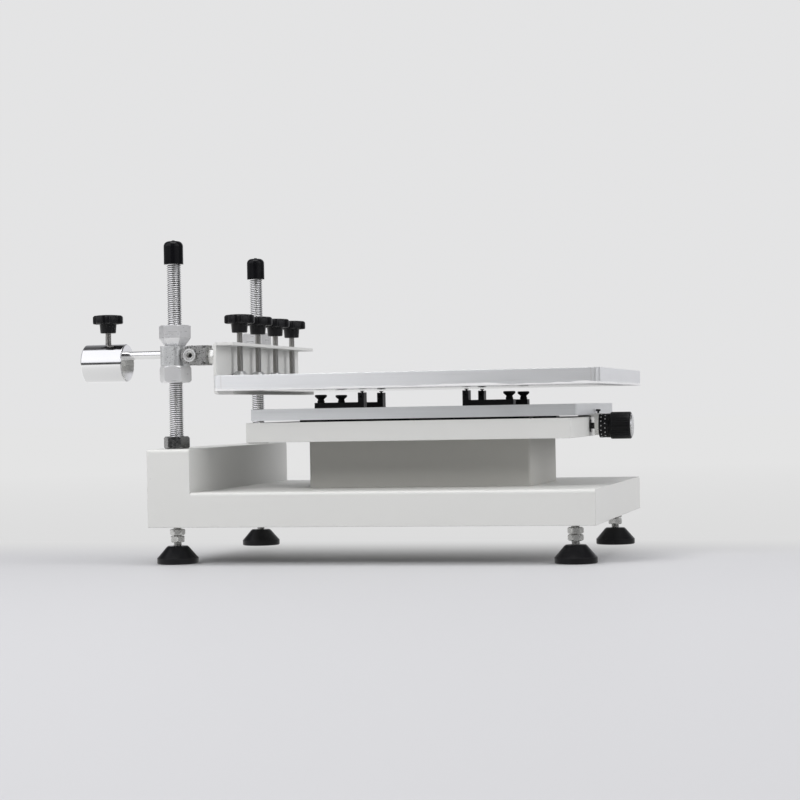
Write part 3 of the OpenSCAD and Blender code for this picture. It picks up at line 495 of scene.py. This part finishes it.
def new_piece(name, skin, material, body, sharp_deg=None):
    """A smooth piece from points and faces, on its body; edges that turn more than sharp_deg stay sharp."""
    mesh = bpy.data.meshes.new(name)
    mesh.from_pydata(skin[0], [], skin[1])
    mesh.validate()
    mesh.shade_smooth()
    mesh.materials.append(material)
    piece = bpy.data.objects.new(name, mesh)
    bpy.context.collection.objects.link(piece)
    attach(piece, body)
    if sharp_deg:
        mesh.set_sharp_from_angle(angle=math.radians(sharp_deg))
    return piece


def ring_mesh(rings, around):
    """Closed skin over rings of points, with capped ends; each ring gives a point for an angle."""
    verts, faces = [], []
    for ring in rings:
        verts += [ring(2 * math.pi * k / around) for k in range(around)]
    for r in range(len(rings) - 1):
        for k in range(around):
            n = (k + 1) % around
            faces.append((r * around + k, r * around + n, (r + 1) * around + n, (r + 1) * around + k))
    faces.append(tuple(reversed(range(around))))
    faces.append(tuple((len(rings) - 1) * around + k for k in range(around)))
    return verts, faces


def level_ring(radius, z):
    """A ring at one height; radius is a number or a function of the angle."""
    if callable(radius):
        return lambda a: (radius(a) * math.cos(a), radius(a) * math.sin(a), z)
    return lambda a: (radius * math.cos(a), radius * math.sin(a), z)


def threaded_rod(radius, pitch, z0, z1, around, rows_in_turn=6):
    """A rod with a rolled thread of that outer radius and pitch, chamfered at both ends."""
    depth = 0.58 * pitch
    root = radius - depth
    flank_slope, root_land = 2.2, 0.35
    rows = int((z1 - z0) / pitch * rows_in_turn)
    rings = []
    for r in range(rows + 1):
        z = z0 + (z1 - z0) * r / rows
        from_end = min(z - z0, z1 - z)

        def radius_at(a, z=z, from_end=from_end):
            wave = ((z / pitch - a / (2 * math.pi)) % 1.0) * 2 - 1
            crest = min(1.0, max(0.0, (1 - abs(wave)) * flank_slope - root_land))
            return min(root + depth * crest, root + max(0.0, from_end))

        rings.append(level_ring(radius_at, z))
    return ring_mesh(rings, around)


def hexagon_nut(flats, z0, z1, opening, turn_deg, around=72):
    """A nut with chamfered corners; opening is the radius where its end faces stop."""
    half, corner = flats / 2, flats / math.sqrt(3)
    end_face, chamfer, steps = half * 0.96, flats * 0.08, 4

    def cut_ring(reach, z):
        def radius_at(a):
            local = (a - math.radians(turn_deg)) % (math.pi / 3) - math.pi / 6
            return min(half / math.cos(local), reach)

        return level_ring(radius_at, z)

    slope = [(end_face, 0.0)]
    slope += [(end_face + (corner - end_face) * k / steps, chamfer * k / steps) for k in range(1, steps)]
    slope.append((corner, chamfer))
    rings = [level_ring(opening, z0)]
    rings += [cut_ring(reach, z0 + rise) for reach, rise in slope]
    rings += [cut_ring(reach, z1 - rise) for reach, rise in reversed(slope)]
    rings.append(level_ring(opening, z1))
    return ring_mesh(rings, around)


def joined(*parts):
    """Several skins as one list of points and faces."""
    verts, faces = [], []
    for more, skin in parts:
        faces += [tuple(i + len(verts) for i in face) for face in skin]
        verts += more
    return verts, faces


def shifted(skin, x, y):
    return [(a + x, b + y, c) for a, b, c in skin[0]], skin[1]


def middle(node):
    """The middle of a CAD node's box."""
    low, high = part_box(node)
    return [(a + b) / 2 for a, b in zip(low, high)]


stud_radius, stud_pitch, stud_low, stud_high = 0.004, 0.00125, 0.00515, 0.044
nut_flats, nut_opening = 0.013, 0.0038
turning_nut, lock_nut = (0.0207, 0.0266), (0.0273, 0.0332)
for i in (1, 2, 3, 4):
    coat(f"foot_pad_{i}", pad_nylon)
    stud = joined(
        threaded_rod(stud_radius, stud_pitch, stud_low, stud_high, around=24),
        hexagon_nut(nut_flats, *turning_nut, nut_opening, turn_deg=37 + 13 * i),
        hexagon_nut(nut_flats, *lock_nut, nut_opening, turn_deg=48 + 29 * i),
    )
    x, y, _ = middle(f"foot_stud_{i}")
    stud = shifted(stud, x, y)
    piece = new_piece(f"threaded_stud_{i}", stud, stud_zinc, f"stud_{i}", sharp_deg=28)
    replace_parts(piece, f"foot_stud_{i}")

# Columns: two M14 threaded bars stand on the raised box between dark plated nuts, with soft vinyl caps on
# their tops. The thread is rolled: bright on its crests, its roots darkened with painted shade and oil.
column_steel = bare_metal(
    "column_steel", (0.92, 0.92, 0.93), (0.03, 0.03, 0.03),
    rough=0.24, along=(120.0, 120.0, 120.0), lines=0.06, relief=0.000002, corner=0, roots=0.95,
)
column_radius, column_pitch = 0.007, 0.002
low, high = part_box("columns")
for side, y in (("near", low[1] + column_radius), ("far", high[1] - column_radius)):
    bar = threaded_rod(column_radius, column_pitch, low[2], high[2], around=32)
    bar = shifted(bar, (low[0] + high[0]) / 2, y)
    piece = new_piece(f"{side}_threaded_column", bar, column_steel, "chassis")
    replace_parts(piece, "columns")
# painted glints: the nuts' edges are drawn much brighter (edge 1.0)
dark_steel = bare_metal(
    "dark_steel", (0.27, 0.27, 0.27), (0.07, 0.07, 0.07),
    rough=0.20, along=(400.0, 400.0, 700.0), lines=0.5, relief=0.00004, corner=0.0008, edge=1.0,
)
coat("column_nuts", dark_steel)
cap_vinyl = moulded(
    "cap_vinyl", (0.005, 0.005, 0.006),
    scuffed=0.04, rough=0.16, grain=0.00001, corner=0.0005, gloss=0.18,
)
coat("column_caps", cap_vinyl)

# Pedestal and tray: welded sheet boxes, screwed to each other and to the base with pan-headed screws. The
# pedestal's greyer powder coat is partly its own colour and partly painted shade from the tray above it. The
# tray's front wall holds the flanged nut of the fine adjuster.
# the grey stands partly for painted shade under the tray's overhang
grey_coat_and_shade = powder_coat("grey_powder_coat_and_painted_shade", (0.42, 0.415, 0.39), worn=(0.22, 0.22, 0.21), gloss=0.4)
coat("pedestal", grey_coat_and_shade)
coat("tray", white_coat)
zinc = bare_metal(
    "zinc_plate", (0.80, 0.80, 0.78), (0.42, 0.42, 0.41),
    rough=0.30, along=(500.0, 500.0, 900.0), lines=0.25,
)
coat("table_screws", zinc)
black_steel = bare_metal(
    "black_oxide", (0.055, 0.055, 0.058), (0.02, 0.02, 0.02),
    rough=0.30, along=(600.0, 600.0, 600.0), lines=0.2, Specular_IOR_Level=0.5,
)
coat("adjust_nut", black_steel)

# Guide rods and slide blocks: ground and chromed rods along the tray, and black acetal blocks that run on
# them, screwed to the underside of the table plate.
ground_steel = bare_metal(
    "ground_steel", (0.80, 0.80, 0.81), (0.55, 0.55, 0.56),
    rough=0.12, along=(20.0, 900.0, 900.0), lines=0.06,
)
coat("guide_rods", ground_steel)
acetal = moulded(
    "black_acetal", (0.016, 0.016, 0.017),
    scuffed=0.09, rough=0.35, grain=0.00001, corner=0.0005, gloss=0.45,
)
coat("slide_blocks", acetal)

# Table plate: thick rolled aluminium, milled along its length and left bare, so its sides show fine lines and
# its top a soft silk.


def brushed_along_x(material, amount):
    """Lines along the machine spread a reflection up and down and keep it narrow along the machine; the end
    faces are plain."""
    tree = material.node_tree
    around = tree.nodes.new("ShaderNodeTangent")
    around.direction_type = "RADIAL"
    around.axis = "X"
    surface = tree.nodes.new("ShaderNodeTexCoord")
    facing = tree.nodes.new("ShaderNodeSeparateXYZ")
    tree.links.new(surface.outputs["Normal"], facing.inputs[0])
    long_face = number(tree, "LESS_THAN", number(tree, "ABSOLUTE", facing.outputs["X"]), 0.5)
    shader = tree.nodes["Principled BSDF"]
    tree.links.new(around.outputs[0], shader.inputs["Tangent"])
    tree.links.new(number(tree, "MULTIPLY", long_face, amount), shader.inputs["Anisotropic"])


plate_metal = bare_metal(
    "milled_plate", (0.86, 0.875, 0.885), (0.62, 0.63, 0.64),
    rough=0.40, along=(7.0, 700.0, 700.0), lines=0.32, relief=0.00002, corner=0.0006, Metallic=0.8,
)
brushed_along_x(plate_metal, 0.9)
coat("table_plate", plate_metal)

# Fine adjuster: a plated bracket under the table's front edge, a black grooved ring with two rows of bright
# studs and a small lock screw, and the screw itself with a moulded knob and a spun aluminium cap.
coat("adjust_bracket", zinc)
coat("adjust_screw", black_steel)
ring_black = moulded(
    "ring_black", (0.006, 0.006, 0.007),
    scuffed=0.06, rough=0.28, grain=0.00001, corner=0.0003, gloss=0.2,
)
for node in ("lock_ring", "adjust_knob"):
    coat(node, ring_black)
coat("lock_screw", black_steel)


def dome_rows(drum, axis_z, rows, count, radius, height):
    """Rows of shallow domes round a drum whose axis runs along X; rows are their places along it."""
    sunk = 0.0002
    profile = ((radius, -sunk), (radius, 0.3 * height), (0.7 * radius, 0.8 * height), (0.2 * radius, height))
    dome, faces = ring_mesh([level_ring(reach, up) for reach, up in profile], 12)
    skins = []
    for row, x in enumerate(rows):
        for k in range(count):
            turn = Matrix.Rotation(2 * math.pi * (k + 0.5 * row) / count, 3, "X")
            moved = [turn @ Vector((a, b, drum + c)) for a, b, c in dome]
            skins.append(([(v.x + x, v.y, v.z + axis_z) for v in moved], faces))
    return joined(*skins)


low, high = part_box("lock_ring")
drum, axis_z = (high[2] - low[2]) / 2, (low[2] + high[2]) / 2
rows = (low[0] + 0.0024, low[0] + 0.0063)
domes = dome_rows(drum, axis_z, rows, count=16, radius=0.00062, height=0.00018)
ring_marks = bare_metal(
    "ring_marks", (0.85, 0.85, 0.85), (0.5, 0.5, 0.5),
    rough=0.45, along=(900.0, 900.0, 900.0), lines=0.2, corner=0,
)
new_piece("lock_ring_studs", domes, ring_marks, "table")
spun_aluminium = bare_metal(
    "spun_aluminium", (0.88, 0.885, 0.89), (0.64, 0.64, 0.65),
    rough=0.26, along=(900.0, 300.0, 300.0), lines=0.15,
)
coat("knob_cap", spun_aluminium)

# Board holders: four black anodised aluminium feet with a slot, a post and a locating pin, clamped by small
# moulded thumb screws with a waisted grip.
holder_black = bare_metal(
    "black_anodised", (0.030, 0.030, 0.033), (0.016, 0.016, 0.018),
    rough=0.42, along=(40.0, 900.0, 900.0), lines=0.2, Specular_IOR_Level=0.5, Metallic=0.4,
)
thumb_plastic = moulded(
    "thumb_plastic", (0.015, 0.015, 0.016),
    scuffed=0.09, rough=0.45, grain=0.00002, corner=0.0003, gloss=0.25,
)


def waisted_thumb_screw(stem_low, seat):
    """Hourglass grip with fine flutes round its broad rim, on a smooth stem."""
    stem_radius = 0.0019
    foot_and_waist = ((0.0034, 0.0), (0.0037, 0.0005), (0.0036, 0.0016), (0.0031, 0.0026), (0.0032, 0.0036))
    fluted_rim = ((0.0046, 0.0048), (0.0057, 0.0056), (0.006, 0.0061), (0.006, 0.0074))
    dished_top = ((0.0056, 0.0079), (0.0040, 0.008), (0.0036, 0.0077), (0.0012, 0.0077))

    def fluted(radius):
        return lambda a: radius * (1 - 0.045 * abs(math.sin(9 * a)))

    rings = [level_ring(stem_radius, stem_low), level_ring(stem_radius, seat)]
    rings += [level_ring(radius, seat + up) for radius, up in foot_and_waist]
    rings += [level_ring(fluted(radius), seat + up) for radius, up in fluted_rim]
    rings += [level_ring(radius, seat + up) for radius, up in dished_top]
    return ring_mesh(rings, 72)


grip_height = 0.008
for i in (1, 2, 3, 4):
    coat(f"holder_{i}", holder_black)
    low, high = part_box(f"holder_screw_{i}")
    x, y, _ = middle(f"holder_screw_{i}")
    grip = shifted(waisted_thumb_screw(low[2], high[2] - grip_height), x, y)
    body = f"thumb_screw_{i}"
    piece = new_piece(f"thumb_grip_{i}", grip, thumb_plastic, body, sharp_deg=35)
    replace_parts(piece, f"holder_screw_{i}")

# Clamp blocks and hinge: bead-blasted cast blocks ride on the columns between milled aluminium height nuts.
# Cast fork knuckles turn round the blocks' tongues on plated pins with socket heads, each in a bright ring.
cast_metal = bare_metal(
    "blasted_casting", (0.76, 0.77, 0.77), (0.18, 0.18, 0.18),
    rough=0.42, along=(700.0, 700.0, 700.0), lines=0.9, relief=0.00012, corner=0.0010, Metallic=0.8,
)
coat("clamp_blocks", cast_metal)
knuckle_metal = bare_metal(
    "knuckle_casting", (0.52, 0.52, 0.51), (0.10, 0.10, 0.10),
    rough=0.40, along=(600.0, 600.0, 600.0), lines=1.4, relief=0.00012, corner=0.0010,
)
coat("knuckles", knuckle_metal)
nut_metal = bare_metal(
    "turned_aluminium", (0.88, 0.88, 0.885), (0.72, 0.72, 0.73),
    rough=0.28, along=(60.0, 60.0, 700.0), lines=0.04, relief=0.0000006, corner=0.0008,
    edge=0.0, Metallic=0.6,
)
for node in ("near_upper_nut", "near_lower_nut", "far_upper_nut", "far_lower_nut"):
    coat(node, nut_metal)
pin_zinc = bare_metal(
    "pin_zinc", (0.80, 0.80, 0.78), (0.42, 0.42, 0.41),
    rough=0.30, along=(500.0, 500.0, 900.0), lines=0.25,
)


def paint_socket_shade(material, x, z, reach, soft_edge=0.0004):
    """Darkens the hexagon socket with painted shade; the socket is everything within reach of an axis along
    Y.
    """
    tree = material.node_tree
    place = tree.nodes.new("ShaderNodeTexCoord")
    offset = tree.nodes.new("ShaderNodeVectorMath")
    offset.operation = "MULTIPLY_ADD"
    offset.inputs[1].default_value = (1.0, 0.0, 1.0)
    offset.inputs[2].default_value = (-x, 0.0, -z)
    tree.links.new(place.outputs["Object"], offset.inputs[0])
    radius = tree.nodes.new("ShaderNodeVectorMath")
    radius.operation = "LENGTH"
    tree.links.new(offset.outputs[0], radius.inputs[0])
    outside = ramped(tree, radius.outputs["Value"], reach, reach + soft_edge)
    colour = mixed(tree, outside, (0.03, 0.03, 0.03, 1), tree.nodes["Group"].outputs["Color"])
    tree.links.new(colour, tree.nodes["Principled BSDF"].inputs["Base Color"])


pin_x, _, pin_z = middle("hinge_pins")
# painted shade in the pins' hexagon sockets
paint_socket_shade(pin_zinc, pin_x, pin_z, 0.0019)
coat("hinge_pins", pin_zinc)


def flat_hoop(outer, inner, thick, around=64):
    """A ring with rounded edges, standing on the plane z = 0."""
    inside = [(inner, 0.0), (inner, thick * 0.7), (inner + thick * 0.3, thick)]
    outside = [(outer - thick * 0.3, thick), (outer, thick * 0.7), (outer, 0.0)]
    profile = inside + outside
    verts, faces = [], []
    for radius, up in profile:
        verts += [level_ring(radius, up)(2 * math.pi * k / around) for k in range(around)]
    for r in range(len(profile)):
        for k in range(around):
            m, n = (k + 1) % around, (r + 1) % len(profile)
            faces.append((r * around + k, n * around + k, n * around + m, r * around + m))
    return verts, faces


hoop_aluminium = bare_metal(
    "hoop_aluminium", (0.90, 0.90, 0.90), (0.70, 0.70, 0.70),
    rough=0.5, along=(500.0, 500.0, 500.0), lines=0.1, corner=0,
)
pin_hoops = (
    ("ring", (0.0060, 0.0050, 0.0004), hoop_aluminium, "nut_aluminium"),
    ("rim", (0.0039, 0.0033, 0.0003), zinc, "bright_steel"),
)
low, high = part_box("hinge_pins")
for side, outwards, head in (("near", -1, low[1]), ("far", 1, high[1])):
    for name, size, material, slot in pin_hoops:
        verts, faces = flat_hoop(*size)
        verts = [(pin_x + a, head + outwards * c, pin_z + b) for a, b, c in verts]
        if outwards > 0:
            faces = [tuple(reversed(face)) for face in faces]
        new_piece(f"{side}_pin_{name}", (verts, faces), material, "carriage")

# Crossbar: sheet steel folded to a channel, open to the front, in the same powder coat as the base. Nuts lock
# the knuckles and the counterweight's rod on the studs at its back.
coat("crossbar", white_coat)
coat("crossbar_nuts", zinc)

# Screen frame: welded aluminium tube, brushed along each side, with a ragged line of glue along its lower
# edge. A stainless foil is glued and stretched across its underside.
frame_metal = bare_metal(
    "brushed_tube", (0.94, 0.95, 0.96), (0.74, 0.75, 0.76),
    rough=0.36, along=(9.0, 500.0, 500.0), lines=0.30, relief=0.00002, corner=0.0012,
)
brushed_along_x(frame_metal, 0.9)


def frame_marks_group():
    """Masks on the screen frame: the ragged edge of the glue along its lower edge, and a painted highlight
    line near each end of the tube.
    """
    highlight_places = ("Joint Rear", "Joint Front")
    numbers = dict.fromkeys(("Bottom", *highlight_places), 0.0)
    tree, given, put = named_group("frame_marks", numbers, (), ("Glue", "Corner Highlight"))
    where = tree.nodes.new("ShaderNodeTexCoord").outputs["Object"]
    split = tree.nodes.new("ShaderNodeSeparateXYZ")
    tree.links.new(where, split.inputs[0])
    ragged = number(tree, "MULTIPLY", speckle(tree, where, 70.0, 4.0), 0.0050)
    up = number(tree, "SUBTRACT", split.outputs["Z"], given.outputs["Bottom"])
    above_glue = ramped(tree, number(tree, "SUBTRACT", up, ragged), -0.0008, -0.0003)
    tree.links.new(rest_of(tree, above_glue), put.inputs["Glue"])
    wander = number(tree, "MULTIPLY", speckle(tree, where, 90.0, 3.0), 0.0012)
    along = number(tree, "ADD", split.outputs["X"], wander)
    highlight_lines = []
    for label in highlight_places:
        off = number(tree, "ABSOLUTE", number(tree, "SUBTRACT", along, given.outputs[label]))
        highlight_lines.append(rest_of(tree, ramped(tree, off, 0.0003, 0.0009)))
    tree.links.new(number(tree, "MAXIMUM", *highlight_lines), put.inputs["Corner Highlight"])
    return tree


def marked_frame(material):
    """Lays the glue and the painted corner highlights over the tube's metal."""
    tree = material.node_tree
    shader = tree.nodes["Principled BSDF"]
    low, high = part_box("screen_frame")
    # painted highlight: a bright vertical line near each end of the tube
    highlight_rear, highlight_front = low[0] + 0.0085, high[0] - 0.0072
    glue_white, highlight_bright = (0.80, 0.80, 0.80, 1), (0.86, 0.86, 0.86, 1)
    brushed = tree.nodes["Group"].outputs["Color"]
    marks = placed(tree, frame_marks_group(), Bottom=low[2], Joint_Rear=highlight_rear, Joint_Front=highlight_front)
    colour = mixed(tree, marks.outputs["Corner Highlight"], brushed, highlight_bright)
    tree.links.new(mixed(tree, marks.outputs["Glue"], colour, glue_white), shader.inputs["Base Color"])
    bare = number(tree, "MULTIPLY", rest_of(tree, marks.outputs["Glue"]), 0.8)
    tree.links.new(bare, shader.inputs["Metallic"])


marked_frame(frame_metal)
coat("screen_frame", frame_metal)
foil_steel = bare_metal(
    "foil_steel", (0.76, 0.76, 0.76), (0.62, 0.62, 0.62),
    rough=0.16, along=(30.0, 900.0, 900.0), lines=0.08, relief=0.000004, corner=0,
)
coat("stencil", foil_steel)

# Clamp screws: plated M6 threaded stems with moulded star knobs above the crossbar. Cast feet turn on their
# lower ends and press on the frame's rear bar.
knob_plastic = moulded(
    "knob_plastic", (0.008, 0.008, 0.009),
    scuffed=0.07, rough=0.28, grain=0.00003, corner=0.0004, gloss=0.25,
)
# the stems' thread roots are darkened with painted shade and oil (roots)
stem_steel = bare_metal(
    "stem_steel", (0.56, 0.55, 0.53), (0.03, 0.03, 0.03),
    rough=0.30, along=(120.0, 120.0, 120.0), lines=0.06, relief=0.000002, corner=0, roots=0.9,
)


def star_knob(bottom):
    """Six broad lobes on a slightly tapered hub, with rounded rims and a pressed-in disc on top."""
    lobes, reach, core, turn_deg, broad = 6, 0.01475, 0.0106, 12, 1.6
    hub = ((0.0034, 0.0), (0.0070, 0.0), (0.0076, 0.0005), (0.0079, 0.0045), (0.0083, 0.0087))
    lower_rim = ((0.0022, 0.0089), (0.0007, 0.0092), (0.0001, 0.0099), (0.0, 0.0108))
    upper_rim = ((0.0, 0.0154), (0.0003, 0.0164), (0.0011, 0.0172), (0.0024, 0.0176))
    disc = ((0.0072, 0.018), (0.0044, 0.018), (0.0041, 0.0174), (0.0014, 0.0174))

    def star(inset):
        def radius_at(a):
            swell = 0.5 + 0.5 * math.cos(lobes * (a - math.radians(turn_deg)))
            swell = min(1.0, swell * broad)
            swell = swell * swell * (3 - 2 * swell)
            return core + (reach - core) * swell - inset

        return radius_at

    rings = [level_ring(radius, bottom + up) for radius, up in hub]
    rings += [level_ring(star(inset), bottom + up) for inset, up in lower_rim + upper_rim]
    rings += [level_ring(radius, bottom + up) for radius, up in disc]
    return ring_mesh(rings, 144)


def star_screw(stem_node, stem_name, knob_node, knob_name, body):
    """An M6 screw with a star knob, in place of the two CAD nodes."""
    radius, pitch = 0.003, 0.001
    low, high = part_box(stem_node)
    x, y, _ = middle(stem_node)
    stem = shifted(threaded_rod(radius, pitch, low[2], high[2], around=20), x, y)
    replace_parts(new_piece(stem_name, stem, stem_steel, body), stem_node)
    knob_low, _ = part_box(knob_node)
    knob = shifted(star_knob(knob_low[2]), x, y)
    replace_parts(new_piece(knob_name, knob, knob_plastic, body, sharp_deg=40), knob_node)


for i in (1, 2, 3, 4):
    coat(f"clamp_foot_{i}", cast_metal)
    star_screw(f"clamp_stem_{i}", f"threaded_stem_{i}", f"clamp_knob_{i}", f"star_knob_{i}", f"clamp_{i}")

# Counterweight: a turned and chromed steel slug that hangs from its rod by an eccentric bore, held on it by a
# screw with the same star knob.
chrome = bare_metal(
    "chrome_plate", (0.84, 0.84, 0.845), (0.70, 0.70, 0.71),
    rough=0.10, along=(1400.0, 200.0, 200.0), lines=0.05, relief=0.000003, corner=0.0005,
)
coat("counterweight", chrome)
rod_steel = bare_metal(
    "rod_steel", (0.92, 0.92, 0.92), (0.72, 0.72, 0.72),
    rough=0.18, along=(20.0, 700.0, 700.0), lines=0.10,
)
coat("weight_rod", rod_steel)
star_screw("weight_stem", "threaded_weight_stem", "weight_knob", "weight_star_knob", "weight_lock")
